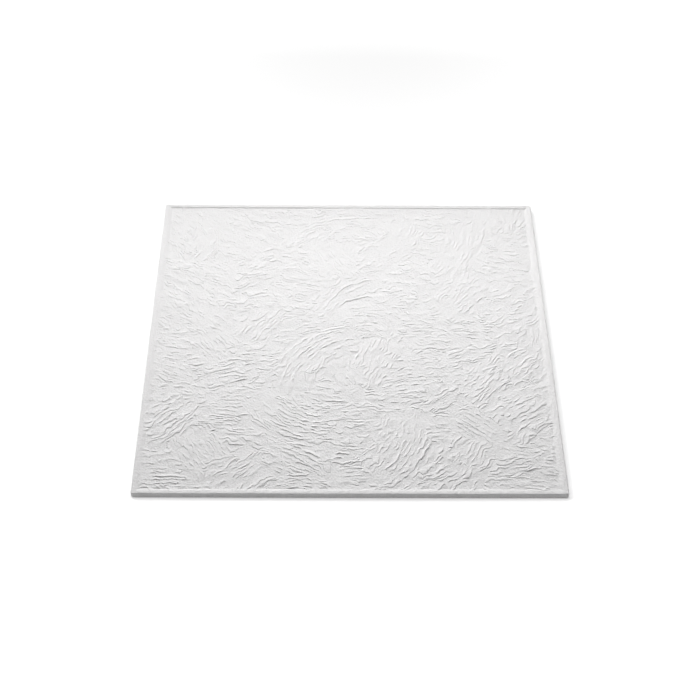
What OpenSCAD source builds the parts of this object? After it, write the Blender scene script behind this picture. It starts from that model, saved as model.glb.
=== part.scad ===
// Square foam ceiling tile, moulded in one piece.
// The back is flat and takes the adhesive. The face has a low rim round a field that sits lower,
// and the field is covered with the ridges that a coarse brush leaves in wet plaster: short pulls,
// each a straight or curved band of uneven ridges, laid across one another, and single strong ridges.
// Origin: middle of the flat back. The face looks along +Z.

/* [Tile] */
// Side of the square tile
tile_side = 500; // [496:1:520]
// Thickness from the flat back to the top of the rim
tile_thick = 7; // [5:0.5:12]
// Radius of the four corners, seen from above
corner_r = 3; // [2:0.5:5]
// Rounding of the rim's outer edge
edge_r = 1.2; // [0.4:0.1:1.5]

/* [Rim] */
// Width of the flat rim round the field
rim_w = 5.5; // [5.5:0.5:7]
// Depth of the field below the rim
field_drop = 1.6; // [1.5:0.1:2]
// How far the rim's inner wall leans, so that the tile leaves its mould
rim_lean = 0.6; // [0.2:0.1:1.5]

/* [Brushed plaster] */
// Height of the tallest ridge above the field
ridge_h = 1.45; // [0.5:0.05:1.45]
// Width of a full ridge at its root
ridge_w = 4; // [2:0.2:4]
// Distance between neighbouring ridges of one pull
ridge_pitch = 6; // [6:0.5:14]
// How low a ridge may sink between its ends, as a share of the tallest
ridge_low = 0.45; // [0.3:0.05:0.8]
// How far a ridge wanders to either side
ridge_wander = 0.8; // [0:0.1:1.5]
// Distance between two bends of a ridge
ridge_step = 16; // [16:0.5:25]
// How much of a pull's length its ridges may fall short, at each end
ridge_short = 0.15; // [0.15:0.01:0.3]
// How high a single ridge stays, at least, as a share of the tallest
stroke_rise = 0.75; // [0.5:0.05:1]
// Height of the thickest bed of plaster that a pull leaves under its ridges
bed_h = 0.4; // [0.1:0.05:0.6]
// Picks another set of uneven ridges
ridge_seed = 7; // [1:1:99]

/* [Hidden] */
$fn = 48;

half = tile_side / 2;
field_z = tile_thick - field_drop;
// Ridges start this far down in the tile, so that each one grows out of the field
root = 0.4;
// A bed's curved sides bend once in this many degrees
bed_turn = 15;
// Ridges may run this far into the rim's inner wall
run_in = 2;
// A single ridge runs on past either end by this share of its last stretch
overrun = 0.3;

// The pulls of the brush. Each row is [x, y, aim, length, turn, band]: where its middle line starts,
// the way it sets off in degrees from +X, how long it is, how far it has turned by its end
// (left is positive), and how wide its band of ridges is.
brush_pulls = [
    // Far left corner: a fan round the edge of the tile, and pulls that leave it
    [-215, 216, -40, 75, -80, 48],
    [-200, 236, -20, 70, -10, 20],
    [-170, 218, -30, 80, 5, 26],
    [-166, 192, -32, 95, 0, 30],
    [-172, 162, -8, 50, -10, 28],
    [-196, 126, -20, 60, 0, 30],
    [-236, 122, -20, 45, -10, 36],
    [-240, 190, -60, 55, 20, 18],
    // Far side, middle: a wide arch, a straight pull under it, and a fan that climbs to the rim
    [-130, 228, -8, 88, 8, 24],
    [-64, 165, 60, 150, -110, 40],
    [-20, 236, 0, 84, 0, 14],
    [-40, 165, -58, 72, 0, 45],
    [-112, 148, 0, 58, -10, 32],
    [11, 137, 15, 104, 65, 50],
    // Far right corner
    [92, 212, 0, 52, -10, 30],
    [94, 168, -10, 45, 20, 44],
    [150, 205, -90, 118, -45, 40],
    [205, 242, -105, 55, 0, 56],
    [192, 178, -5, 50, 0, 34],
    [178, 142, -20, 62, 5, 34],
    [110, 236, 0, 60, -10, 14],
    [60, 120, 5, 52, -30, 26],
    // Left side
    [-150, 108, 25, 62, 0, 42],
    [-86, 118, -12, 72, -5, 30],
    [-222, 78, -42, 82, 0, 44],
    [-244, 66, -30, 40, 0, 26],
    [-92, 84, -10, 66, -5, 30],
    [-125, 62, 5, 50, -20, 20],
    [-76, 54, -12, 42, 0, 20],
    [-168, 56, 0, 42, 0, 20],
    [-238, 34, -20, 55, -15, 28],
    [-192, 12, -48, 56, 0, 44],
    [-242, 2, -12, 50, 0, 32],
    [-125, -2, 62, 62, -20, 44],
    [-84, 18, 15, 58, 0, 34],
    // Middle: the long bend, the arches under it, and the dome with its straight right flank
    [-40, 42, 62, 112, -50, 34],
    [45, 90, 0, 52, -20, 28],
    [-10, 32, 35, 72, -70, 34],
    [28, 62, 0, 60, 0, 22],
    [-12, 6, 20, 60, -40, 20],
    [-70, -88, 90, 125, -85, 48],
    [45, -8, -112, 80, 0, 44],
    [-14, -40, -62, 50, 0, 32],
    // Right side
    [55, 22, 15, 70, -35, 30],
    [86, 44, 10, 34, 0, 18],
    [76, -8, 5, 74, -15, 26],
    [134, 20, -12, 48, 0, 34],
    [115, 42, 48, 82, 0, 46],
    [186, 64, 26, 62, 0, 42],
    [190, 98, 10, 55, 0, 26],
    [188, 18, 28, 60, 0, 42],
    [236, 20, -88, 48, 0, 16],
    [42, -62, 20, 72, -25, 30],
    [110, -44, 15, 50, 5, 24],
    [152, -26, 12, 50, 10, 24],
    [66, -32, 0, 44, 0, 18],
    // Left side, nearer
    [-212, -46, -5, 46, 10, 24],
    [-155, -32, 0, 66, 10, 34],
    [-242, -50, -30, 52, 15, 28],
    [-238, -26, -10, 40, 0, 18],
    [-172, -72, 18, 58, 0, 30],
    [-112, -60, 10, 36, 0, 38],
    [-226, -90, -5, 50, 0, 24],
    [-172, -108, -3, 66, 0, 40],
    [-240, -112, 0, 40, 40, 24],
    [-245, -160, 32, 66, 20, 54],
    [-186, -140, -3, 66, 0, 18],
    // Near left corner
    [-192, -158, -58, 68, 0, 48],
    [-150, -162, -5, 48, 0, 24],
    [-240, -202, 5, 42, 0, 26],
    [-244, -228, 5, 70, -5, 28],
    [-140, -238, 46, 56, 0, 56],
    [-170, -216, 20, 40, 0, 24],
    // Near side, middle: the bowl, the small bowl in it, and the long pull that leaves it
    [-112, -98, -62, 128, 75, 46],
    [-98, -188, -22, 82, -12, 42],
    [-34, -182, -12, 62, 34, 38],
    [-88, -232, 5, 62, -10, 20],
    [-24, -226, -8, 64, 16, 34],
    [-38, -126, 0, 72, 5, 24],
    [-16, -150, 0, 54, 10, 18],
    [-46, -90, -15, 60, 20, 26],
    [26, -217, 35, 96, 50, 58],
    // Near right corner
    [26, -100, 5, 88, 5, 26],
    [140, -98, 46, 76, 0, 42],
    [195, -66, 42, 66, 0, 42],
    [118, -74, 10, 34, 0, 22],
    [98, -116, 35, 45, 0, 22],
    [122, -122, -42, 70, 0, 42],
    [92, -150, -10, 46, 0, 42],
    [182, -150, 40, 88, -10, 58],
    [190, -108, 26, 60, -8, 20],
    [108, -200, 50, 44, 0, 38],
    [160, -172, -122, 50, 0, 34],
    [170, -184, -10, 62, -10, 24],
    [168, -212, 20, 66, -15, 24],
    [166, -236, -4, 76, 0, 16],
    [92, -234, 25, 50, 10, 26],
    [222, -196, -20, 24, 0, 38],
];
// Single strong ridges that stand out from the pulls, each by the points it runs through
strokes = [
    // Far left
    [[-162, 190], [-143, 177], [-124, 166]],
    [[-130, 160], [-113, 150]],
    [[-200, 240], [-184, 226], [-172, 225]],
    [[-176, 218], [-160, 205], [-146, 197]],
    [[-167, 173], [-143, 168]],
    [[-167, 161], [-133, 153]],
    // Far middle
    [[-78, 193], [-45, 214], [-12, 221], [20, 224], [55, 226]],
    [[-32, 172], [-22, 177]],
    [[15, 148], [42, 162], [58, 193]],
    [[45, 153], [75, 190], [85, 220]],
    [[50, 130], [78, 157]],
    // Far right
    [[105, 157], [112, 154], [127, 165]],
    [[98, 144], [118, 141]],
    [[175, 148], [195, 137], [222, 131]],
    [[172, 128], [180, 132], [200, 126], [223, 112]],
    [[200, 155], [215, 151], [232, 153]],
    [[226, 171], [243, 184]],
    // Middle
    [[-43, 38], [-28, 55], [-15, 80], [0, 92], [20, 99], [47, 107]],
    [[-13, 50], [-5, 62], [22, 71], [42, 69]],
    [[-10, 66], [3, 82], [15, 84]],
    [[53, 93], [75, 93], [90, 87]],
    [[-7, 35], [12, 38], [30, 36], [45, 24]],
    [[3, 5], [12, 4]],
    [[14, -1], [22, -1]],
    [[-82, -65], [-62, -32], [-42, -9], [-30, -8]],
    [[-60, -40], [-35, -20], [-15, -9], [-7, -12]],
    [[-45, -42], [-25, -23], [-18, -22]],
    // Left
    [[-57, 90], [-38, 82], [-25, 76]],
    [[-88, 83], [-78, 84], [-57, 76]],
    [[-52, 60], [-36, 59]],
    [[-116, 61], [-100, 64], [-83, 61]],
    [[-218, 21], [-208, 24], [-190, 18]],
    [[-185, 25], [-172, 14], [-160, 12]],
    [[-206, -46], [-190, -49], [-170, -46]],
    [[-153, -37], [-148, -40], [-130, -41], [-113, -37]],
    [[-103, -36], [-91, -33]],
    [[-240, -53], [-222, -65], [-203, -73]],
    // Right
    [[43, -68], [58, -58], [72, -50], [87, -53]],
    [[78, -62], [100, -64], [108, -61]],
    [[114, -47], [135, -43], [142, -36]],
    [[58, 23], [68, 29], [90, 28], [115, 20]],
    [[90, 34], [108, 40], [120, 40]],
    [[98, 16], [117, 12], [135, 0]],
    [[78, -8], [90, -4], [97, -5]],
    [[158, -30], [175, -26], [184, -20]],
    [[131, -70], [150, -65], [160, -51]],
    [[188, 58], [205, 64], [217, 71]],
    [[200, 46], [235, 65]],
    // Near left
    [[-233, -119], [-220, -120]],
    [[-170, -98], [-150, -93], [-123, -96]],
    [[-172, -156], [-153, -154]],
    [[-242, -226], [-218, -223], [-190, -226], [-183, -230]],
    [[-230, -233], [-214, -245]],
    [[-165, -228], [-150, -216], [-143, -214]],
    // Near middle
    [[-105, -118], [-72, -130], [-50, -137]],
    [[-88, -167], [-65, -177], [-35, -180]],
    [[-92, -181], [-65, -193], [-42, -212], [-28, -218]],
    [[-25, -168], [-12, -166], [0, -161]],
    [[-12, -224], [10, -231], [30, -229]],
    [[-85, -234], [-65, -230], [-33, -226]],
    [[-5, -122], [6, -122]],
    [[12, -137], [23, -133]],
    [[-70, -127], [-58, -128]],
    [[35, -215], [55, -198], [72, -150]],
    [[60, -203], [85, -160], [90, -140]],
    // Near right
    [[40, -93], [48, -96], [56, -90], [66, -90]],
    [[84, -86], [101, -84]],
    [[127, -123], [137, -120], [152, -130]],
    [[123, -136], [147, -150]],
    [[122, -145], [145, -165], [153, -169]],
    [[104, -154], [128, -157]],
    [[181, -124], [200, -114], [225, -100], [245, -94]],
    [[190, -171], [205, -150], [232, -128]],
    [[132, -184], [137, -175], [147, -167]],
    [[175, -186], [180, -181], [200, -190]],
    [[187, -216], [205, -212], [218, -203]],
    [[175, -240], [183, -238], [200, -245]],
    [[208, -231], [225, -240], [238, -245]],
];
// Places in a pull's row
AIM = 2;
LENGTH = 3;
TURN = 4;
BAND = 5;

// A whole number from 0 to 65520 that jumps about as n goes up by one
function stir(n) = let (m = n % 65521) (3 * m * m + 7919 * m + 101) % 65521;
// An uneven number from 0 to 1, for quality q of bend k on ridge j of pull i
function uneven(i, j, k, q) =
    stir(stir(stir(i * 131 + j * 17 + ridge_seed) + k * 29 + 3) + q * 311) / 65520;
// The same, from -1 to 1
function sway(i, j, k, q) = 2 * uneven(i, j, k, q) - 1;

// Which way pull p runs after distance s
function heading(p, s) = p[AIM] + p[TURN] * s / p[LENGTH];
// Point on the middle line of pull p after distance s: a straight line, or an arc of radius r
function middle(p, s) =
    let (a = p[AIM], b = heading(p, s), r = p[TURN] == 0 ? 0 : p[LENGTH] * 180 / (PI * p[TURN]))
    r == 0
    ? [p[0] + s * cos(a), p[1] + s * sin(a)]
    : [p[0] + r * (sin(b) - sin(a)), p[1] + r * (cos(a) - cos(b))];
// Point at distance d to the left of that middle line
function beside(p, s, d) = middle(p, s) + d * [-sin(heading(p, s)), cos(heading(p, s))];
// How far from the middle a ridge may reach
reach = half - rim_w + run_in;
// Is a point on the field, or no further into the rim than ridges run?
function on_field(q) = max(abs(q[0]), abs(q[1])) < reach;
// The nearest such point
function held(q) = [for (c = q) max(-reach, min(reach, c))];

// A bar on the plane z = 0 through three-point sections, with a point at either end.
// Each section is [left foot, crest, right foot], seen along the bar.
module pointed_bar(start, sections, end) {
    n = len(sections);
    tail = 3 * n + 1;
    between = [for (k = [0:1:n - 2]) let (a = 3 * k + 1, b = a + 3)
        each [[a + 1, a, b], [a + 1, b, b + 1],
              [a + 1, b + 1, b + 2], [a + 1, b + 2, a + 2],
              [b + 2, b, a], [b + 2, a, a + 2]]];
    polyhedron(
        points = [start, for (section = sections) each section, end],
        faces = concat(
            [[0, 1, 2], [0, 2, 3], [3, 1, 0]],
            between,
            [[tail - 2, tail - 3, tail], [tail - 2, tail, tail - 1], [tail, tail - 3, tail - 1]]));
}

// Ridge j of pull i, at distance d beside the pull's middle line: it rises, falls and wanders,
// and stops short of the pull's ends, or where it has run into the rim
module ridge(i, j, d) {
    p = brush_pulls[i];
    short = ridge_short * p[LENGTH];
    run = [for (s = [short * uneven(i, j, 0, 1):2:p[LENGTH] - short * uneven(i, j, 0, 2)])
        if (on_field(beside(p, s, d))) s];
    long = len(run) < 2 ? 0 : run[len(run) - 1] - run[0];
    bends = max(2, round(long / ridge_step));
    function at(k, aside) = beside(p, run[0] + long * k / bends, d + aside);
    function section(k) =
        let (rise = ridge_low + (1 - ridge_low) * uneven(i, j, k, 3),
             wide = ridge_w * (0.35 + 0.15 * rise),
             off = ridge_wander * sway(i, j, k, 4),
             lean = 0.3 * wide * sway(i, j, k, 5))
        [[each at(k, off + wide), 0],
         [each at(k, off + lean), root + ridge_h * rise],
         [each at(k, off - wide), 0]];
    if (long > ridge_step / 2)
        pointed_bar([each at(0, 0), 0], [for (k = [1:bends - 1]) section(k)], [each at(bends, 0), 0]);
}

// Single ridge n: whole along the points it was seen at, and pointed a little past its ends
module stroke(n) {
    ends = strokes[n];
    seen = len(ends) > 2 ? ends : [ends[0], (ends[0] + ends[1]) / 2, ends[1]];
    last = len(seen) - 1;
    function section(k) =
        let (rise = stroke_rise + (1 - stroke_rise) * uneven(len(brush_pulls), n, k, 3),
             wide = ridge_w * (0.35 + 0.15 * rise),
             along = seen[k + 1] - seen[k - 1],
             left = [-along[1], along[0]] / norm(along))
        [[each seen[k] + wide * left, 0],
         [each seen[k], root + ridge_h * rise],
         [each seen[k] - wide * left, 0]];
    pointed_bar(
        [each held(seen[0] + overrun * (seen[0] - seen[1])), 0],
        [for (k = [1:last - 1]) section(k)],
        [each held(seen[last] + overrun * (seen[last] - seen[last - 1])), 0]);
}

// The plaster that one pull has moved: a thin bed as wide as its band, which ends at the rim
module bed(i) {
    p = brush_pulls[i];
    parts = max(1, round(abs(p[TURN]) / bed_turn));
    side = 0.5 * p[BAND];
    intersection() {
        linear_extrude(root + bed_h * (0.5 + 0.5 * uneven(i, 0, 0, 6))) polygon(concat(
            [for (k = [0:parts]) beside(p, p[LENGTH] * k / parts, -side)],
            [for (k = [parts:-1:0]) beside(p, p[LENGTH] * k / parts, side)]));
        translate([-reach, -reach, -tile_thick]) cube([2 * reach, 2 * reach, 2 * tile_thick]);
    }
}

// One pull: its bed, and all its ridges, side by side
module brush_pull(i) {
    bed(i);
    gaps = round(brush_pulls[i][BAND] / ridge_pitch);
    for (j = [0:gaps]) ridge(i, j, (j / gaps - 0.5) * brush_pulls[i][BAND]);
}

// Section through the tile's outer edge: square below, rounded above
module edge_section() {
    square([corner_r - edge_r, tile_thick]);
    square([corner_r, tile_thick - edge_r]);
    translate([corner_r - edge_r, tile_thick - edge_r]) circle(edge_r);
}

// The plain slab: a block, with the edge section drawn along its sides and turned round its corners
module slab() {
    straight = tile_side - 2 * corner_r;
    translate([-straight / 2, -straight / 2, 0]) cube([straight, straight, tile_thick]);
    for (side = [0:3]) rotate([0, 0, 90 * side]) translate([straight / 2, straight / 2, 0]) {
        rotate([90, 0, 0]) linear_extrude(straight) edge_section();
        rotate_extrude(angle = 90) edge_section();
    }
}

// What the rim stands round: a shallow block whose four walls lean outwards
module field_pocket() {
    foot = half - rim_w - rim_lean;
    over = 1;
    top = foot + rim_lean * (field_drop + over) / field_drop;
    intersection_for (turn = [0, 90]) rotate([0, 0, turn])
        translate([0, half, field_z]) rotate([90, 0, 0]) linear_extrude(tile_side)
        polygon([[-foot, 0], [foot, 0], [top, field_drop + over], [-top, field_drop + over]]);
}

// The whole tile is one moulding
module tile() {
    color("white") union() {
        difference() {
            slab();
            field_pocket();
        }
        translate([0, 0, field_z - root]) {
            for (i = [0:len(brush_pulls) - 1]) brush_pull(i);
            for (n = [0:len(strokes) - 1]) stroke(n);
        }
    }
}

tile();
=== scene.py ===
# %% [markdown]
# # A foam ceiling tile with a brushed-plaster face
#
# The real thing is one moulding of expanded polystyrene, half a metre square and 7 mm thick. Its back is
# flat, for the glue. Its face has a low rim, and inside the rim lies a sunken field that copies wet
# plaster pulled about with a coarse brush.
#
# The CAD frame gives the true size. This script makes the same tile again as one dense closed mesh, from
# the same pulls of the brush as the solid, with the softer and finer relief that the solid leaves out.
# Then it lights the tile.

# %% Load the frame
import bpy
import math
import numpy as np
from collections import namedtuple
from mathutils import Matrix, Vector


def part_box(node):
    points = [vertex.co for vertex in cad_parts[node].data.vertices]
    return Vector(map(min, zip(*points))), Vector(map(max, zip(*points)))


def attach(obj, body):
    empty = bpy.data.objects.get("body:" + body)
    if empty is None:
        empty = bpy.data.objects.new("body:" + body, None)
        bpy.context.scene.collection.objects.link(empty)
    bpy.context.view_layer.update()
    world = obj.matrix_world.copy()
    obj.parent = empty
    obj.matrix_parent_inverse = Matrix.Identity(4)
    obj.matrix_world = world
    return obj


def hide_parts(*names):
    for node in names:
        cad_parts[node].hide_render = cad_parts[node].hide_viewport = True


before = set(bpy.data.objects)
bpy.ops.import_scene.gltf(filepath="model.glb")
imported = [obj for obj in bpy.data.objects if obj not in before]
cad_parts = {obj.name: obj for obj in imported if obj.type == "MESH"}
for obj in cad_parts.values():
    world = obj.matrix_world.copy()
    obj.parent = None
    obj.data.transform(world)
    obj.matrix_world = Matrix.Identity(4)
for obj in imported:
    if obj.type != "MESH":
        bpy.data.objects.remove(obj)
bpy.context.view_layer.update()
low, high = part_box("tile")
MM = 0.001
SIDE = (high.x - low.x) / MM
THICK = (high.z - low.z) / MM
HALF = SIDE / 2
print(f"tile in the frame: {SIDE:.1f} mm square, {THICK:.1f} mm thick")

# %% [markdown]
# ## Camera
#
# The four top corners of the tile in the photograph fit a square seen through a lens of about 76 mm, from
# 47 degrees above the floor and a hair to the left of the middle. The camera stands there and is turned
# by plain angles, with no shift, so that other views can move it freely.

# %% Camera
CAMERA_PLACE = (-0.0188, -1.2819, 1.3364)
CAMERA_TURN = (43.41, -0.569, -0.292)
LENS = 75.7
SENSOR = 36

bpy.ops.object.camera_add(location=CAMERA_PLACE, rotation=[math.radians(a) for a in CAMERA_TURN])
camera = bpy.context.object
camera.name = "camera"
camera.data.lens = LENS
camera.data.sensor_width = SENSOR
bpy.context.scene.camera = camera
print(f"camera {math.dist(CAMERA_PLACE, (0, 0, THICK * MM)):.2f} m from the tile's middle")

# %% [markdown]
# ## The pulls of the brush
#
# On the real mould a plasterer pulled a coarse brush through wet plaster, a hand's breadth at a time, and
# each pull lies over the ones before. So the relief isn't drawn line by line. Each row here is one pull:
# where its middle line starts, its aim, its length, how far it turns, and the width of its band, in mm
# and degrees. A loop then combs the ridges into each band.
#
# Here and there one line stands out from the rest. Each of those is a single ridge, given by the points
# that it runs through. All of them are the pulls and single ridges of the CAD part, so the two stay in
# step.

# %% The pulls
# x, y, aim, length, turn, band
BRUSH_PULLS = [
    # Far left corner: a fan round the edge of the tile, and pulls that leave it
    [-215, 216, -40, 75, -80, 48],
    [-200, 236, -20, 70, -10, 20],
    [-170, 218, -30, 80, 5, 26],
    [-166, 192, -32, 95, 0, 30],
    [-172, 162, -8, 50, -10, 28],
    [-196, 126, -20, 60, 0, 30],
    [-236, 122, -20, 45, -10, 36],
    [-240, 190, -60, 55, 20, 18],
    # Far side, middle: a wide arch, a straight pull under it, and a fan that climbs to the rim
    [-130, 228, -8, 88, 8, 24],
    [-64, 165, 60, 150, -110, 40],
    [-20, 236, 0, 84, 0, 14],
    [-40, 165, -58, 72, 0, 45],
    [-112, 148, 0, 58, -10, 32],
    [11, 137, 15, 104, 65, 50],
    # Far right corner
    [92, 212, 0, 52, -10, 30],
    [94, 168, -10, 45, 20, 44],
    [150, 205, -90, 118, -45, 40],
    [205, 242, -105, 55, 0, 56],
    [192, 178, -5, 50, 0, 34],
    [178, 142, -20, 62, 5, 34],
    [110, 236, 0, 60, -10, 14],
    [60, 120, 5, 52, -30, 26],
    # Left side
    [-150, 108, 25, 62, 0, 42],
    [-86, 118, -12, 72, -5, 30],
    [-222, 78, -42, 82, 0, 44],
    [-244, 66, -30, 40, 0, 26],
    [-92, 84, -10, 66, -5, 30],
    [-125, 62, 5, 50, -20, 20],
    [-76, 54, -12, 42, 0, 20],
    [-168, 56, 0, 42, 0, 20],
    [-238, 34, -20, 55, -15, 28],
    [-192, 12, -48, 56, 0, 44],
    [-242, 2, -12, 50, 0, 32],
    [-125, -2, 62, 62, -20, 44],
    [-84, 18, 15, 58, 0, 34],
    # Middle: the long bend, the arches under it, and the dome with its straight right flank
    [-40, 42, 62, 112, -50, 34],
    [45, 90, 0, 52, -20, 28],
    [-10, 32, 35, 72, -70, 34],
    [28, 62, 0, 60, 0, 22],
    [-12, 6, 20, 60, -40, 20],
    [-70, -88, 90, 125, -85, 48],
    [45, -8, -112, 80, 0, 44],
    [-14, -40, -62, 50, 0, 32],
    # Right side
    [55, 22, 15, 70, -35, 30],
    [86, 44, 10, 34, 0, 18],
    [76, -8, 5, 74, -15, 26],
    [134, 20, -12, 48, 0, 34],
    [115, 42, 48, 82, 0, 46],
    [186, 64, 26, 62, 0, 42],
    [190, 98, 10, 55, 0, 26],
    [188, 18, 28, 60, 0, 42],
    [236, 20, -88, 48, 0, 16],
    [42, -62, 20, 72, -25, 30],
    [110, -44, 15, 50, 5, 24],
    [152, -26, 12, 50, 10, 24],
    [66, -32, 0, 44, 0, 18],
    # Left side, nearer
    [-212, -46, -5, 46, 10, 24],
    [-155, -32, 0, 66, 10, 34],
    [-242, -50, -30, 52, 15, 28],
    [-238, -26, -10, 40, 0, 18],
    [-172, -72, 18, 58, 0, 30],
    [-112, -60, 10, 36, 0, 38],
    [-226, -90, -5, 50, 0, 24],
    [-172, -108, -3, 66, 0, 40],
    [-240, -112, 0, 40, 40, 24],
    [-245, -160, 32, 66, 20, 54],
    [-186, -140, -3, 66, 0, 18],
    # Near left corner
    [-192, -158, -58, 68, 0, 48],
    [-150, -162, -5, 48, 0, 24],
    [-240, -202, 5, 42, 0, 26],
    [-244, -228, 5, 70, -5, 28],
    [-140, -238, 46, 56, 0, 56],
    [-170, -216, 20, 40, 0, 24],
    # Near side, middle: the bowl, the small bowl in it, and the long pull that leaves it
    [-112, -98, -62, 128, 75, 46],
    [-98, -188, -22, 82, -12, 42],
    [-34, -182, -12, 62, 34, 38],
    [-88, -232, 5, 62, -10, 20],
    [-24, -226, -8, 64, 16, 34],
    [-38, -126, 0, 72, 5, 24],
    [-16, -150, 0, 54, 10, 18],
    [-46, -90, -15, 60, 20, 26],
    [26, -217, 35, 96, 50, 58],
    # Near right corner
    [26, -100, 5, 88, 5, 26],
    [140, -98, 46, 76, 0, 42],
    [195, -66, 42, 66, 0, 42],
    [118, -74, 10, 34, 0, 22],
    [98, -116, 35, 45, 0, 22],
    [122, -122, -42, 70, 0, 42],
    [92, -150, -10, 46, 0, 42],
    [182, -150, 40, 88, -10, 58],
    [190, -108, 26, 60, -8, 20],
    [108, -200, 50, 44, 0, 38],
    [160, -172, -122, 50, 0, 34],
    [170, -184, -10, 62, -10, 24],
    [168, -212, 20, 66, -15, 24],
    [166, -236, -4, 76, 0, 16],
    [92, -234, 25, 50, 10, 26],
    [222, -196, -20, 24, 0, 38],
]

Pull = namedtuple("Pull", "x y aim length turn band")
PULLS = [Pull(*row) for row in BRUSH_PULLS]
print(f"{len(PULLS)} pulls of the brush, {sum(pull.length for pull in PULLS) / 1000:.1f} m in all")

# %% Single strong ridges, by the points they run through
STROKES = [
    # Far left
    [(-162, 190), (-143, 177), (-124, 166)],
    [(-130, 160), (-113, 150)],
    [(-200, 240), (-184, 226), (-172, 225)],
    [(-176, 218), (-160, 205), (-146, 197)],
    [(-167, 173), (-143, 168)],
    [(-167, 161), (-133, 153)],
    # Far middle
    [(-78, 193), (-45, 214), (-12, 221), (20, 224), (55, 226)],
    [(-32, 172), (-22, 177)],
    [(15, 148), (42, 162), (58, 193)],
    [(45, 153), (75, 190), (85, 220)],
    [(50, 130), (78, 157)],
    # Far right
    [(105, 157), (112, 154), (127, 165)],
    [(98, 144), (118, 141)],
    [(175, 148), (195, 137), (222, 131)],
    [(172, 128), (180, 132), (200, 126), (223, 112)],
    [(200, 155), (215, 151), (232, 153)],
    [(226, 171), (243, 184)],
    # Middle
    [(-43, 38), (-28, 55), (-15, 80), (0, 92), (20, 99), (47, 107)],
    [(-13, 50), (-5, 62), (22, 71), (42, 69)],
    [(-10, 66), (3, 82), (15, 84)],
    [(53, 93), (75, 93), (90, 87)],
    [(-7, 35), (12, 38), (30, 36), (45, 24)],
    [(3, 5), (12, 4)],
    [(14, -1), (22, -1)],
    [(-82, -65), (-62, -32), (-42, -9), (-30, -8)],
    [(-60, -40), (-35, -20), (-15, -9), (-7, -12)],
    [(-45, -42), (-25, -23), (-18, -22)],
    # Left
    [(-57, 90), (-38, 82), (-25, 76)],
    [(-88, 83), (-78, 84), (-57, 76)],
    [(-52, 60), (-36, 59)],
    [(-116, 61), (-100, 64), (-83, 61)],
    [(-218, 21), (-208, 24), (-190, 18)],
    [(-185, 25), (-172, 14), (-160, 12)],
    [(-206, -46), (-190, -49), (-170, -46)],
    [(-153, -37), (-148, -40), (-130, -41), (-113, -37)],
    [(-103, -36), (-91, -33)],
    [(-240, -53), (-222, -65), (-203, -73)],
    # Right
    [(43, -68), (58, -58), (72, -50), (87, -53)],
    [(78, -62), (100, -64), (108, -61)],
    [(114, -47), (135, -43), (142, -36)],
    [(58, 23), (68, 29), (90, 28), (115, 20)],
    [(90, 34), (108, 40), (120, 40)],
    [(98, 16), (117, 12), (135, 0)],
    [(78, -8), (90, -4), (97, -5)],
    [(158, -30), (175, -26), (184, -20)],
    [(131, -70), (150, -65), (160, -51)],
    [(188, 58), (205, 64), (217, 71)],
    [(200, 46), (235, 65)],
    # Near left
    [(-233, -119), (-220, -120)],
    [(-170, -98), (-150, -93), (-123, -96)],
    [(-172, -156), (-153, -154)],
    [(-242, -226), (-218, -223), (-190, -226), (-183, -230)],
    [(-230, -233), (-214, -245)],
    [(-165, -228), (-150, -216), (-143, -214)],
    # Near middle
    [(-105, -118), (-72, -130), (-50, -137)],
    [(-88, -167), (-65, -177), (-35, -180)],
    [(-92, -181), (-65, -193), (-42, -212), (-28, -218)],
    [(-25, -168), (-12, -166), (0, -161)],
    [(-12, -224), (10, -231), (30, -229)],
    [(-85, -234), (-65, -230), (-33, -226)],
    [(-5, -122), (6, -122)],
    [(12, -137), (23, -133)],
    [(-70, -127), (-58, -128)],
    [(35, -215), (55, -198), (72, -150)],
    [(60, -203), (85, -160), (90, -140)],
    # Near right
    [(40, -93), (48, -96), (56, -90), (66, -90)],
    [(84, -86), (101, -84)],
    [(127, -123), (137, -120), (152, -130)],
    [(123, -136), (147, -150)],
    [(122, -145), (145, -165), (153, -169)],
    [(104, -154), (128, -157)],
    [(181, -124), (200, -114), (225, -100), (245, -94)],
    [(190, -171), (205, -150), (232, -128)],
    [(132, -184), (137, -175), (147, -167)],
    [(175, -186), (180, -181), (200, -190)],
    [(187, -216), (205, -212), (218, -203)],
    [(175, -240), (183, -238), (200, -245)],
    [(208, -231), (225, -240), (238, -245)],
]
print(f"{len(STROKES)} single ridges")

# %% [markdown]
# ## Uneven, but the same each time
#
# Bristles never leave two ridges alike, so each ridge needs its own length, heights and bends. These
# numbers come from whole-number sums that jump about, and not from a random generator, because the CAD
# part uses the same sums. A ridge of the mesh then runs where its ridge in the solid runs, and rises and
# sinks at the same bends.

# %% Uneven numbers
RIDGE_SEED = 7
STIR = 65521
# What an uneven number is for: where a ridge starts and stops, its rise and how far it wanders, how thick
# the bed of a pull is, and the gap and the force of its ledges
START, STOP, RISE, WANDER, BED, GAP, FORCE = 1, 2, 3, 4, 6, 7, 8

def stir(n):
    """A whole number below STIR that jumps about as n goes up by one."""
    m = n % STIR
    return (3 * m * m + 7919 * m + 101) % STIR

def uneven(i, j, k, quality):
    """A number from 0 to 1 for one quality of bend k on ridge j of pull i."""
    return stir(stir(stir(i * 131 + j * 17 + RIDGE_SEED) + k * 29 + 3) + quality * 311) / (STIR - 1)

def sway(i, j, k, quality):
    """The same, from -1 to 1."""
    return 2 * uneven(i, j, k, quality) - 1

print("first uneven numbers:", [round(uneven(0, 0, k, RISE), 3) for k in range(5)])

# %% [markdown]
# ## Lines beside a pull
#
# A pull is a straight line or an arc, so a point at distance s along it and d to its left follows from
# the aim and the turn alone. Every ridge of the pull is such a line at its own d.

# %% Points along and beside a pull
RIM_W = 5.5
RUN_IN = 2

def heading(pull, s):
    """Which way the pull runs after distance s, in radians."""
    return math.radians(pull.aim + pull.turn * s / pull.length)

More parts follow.
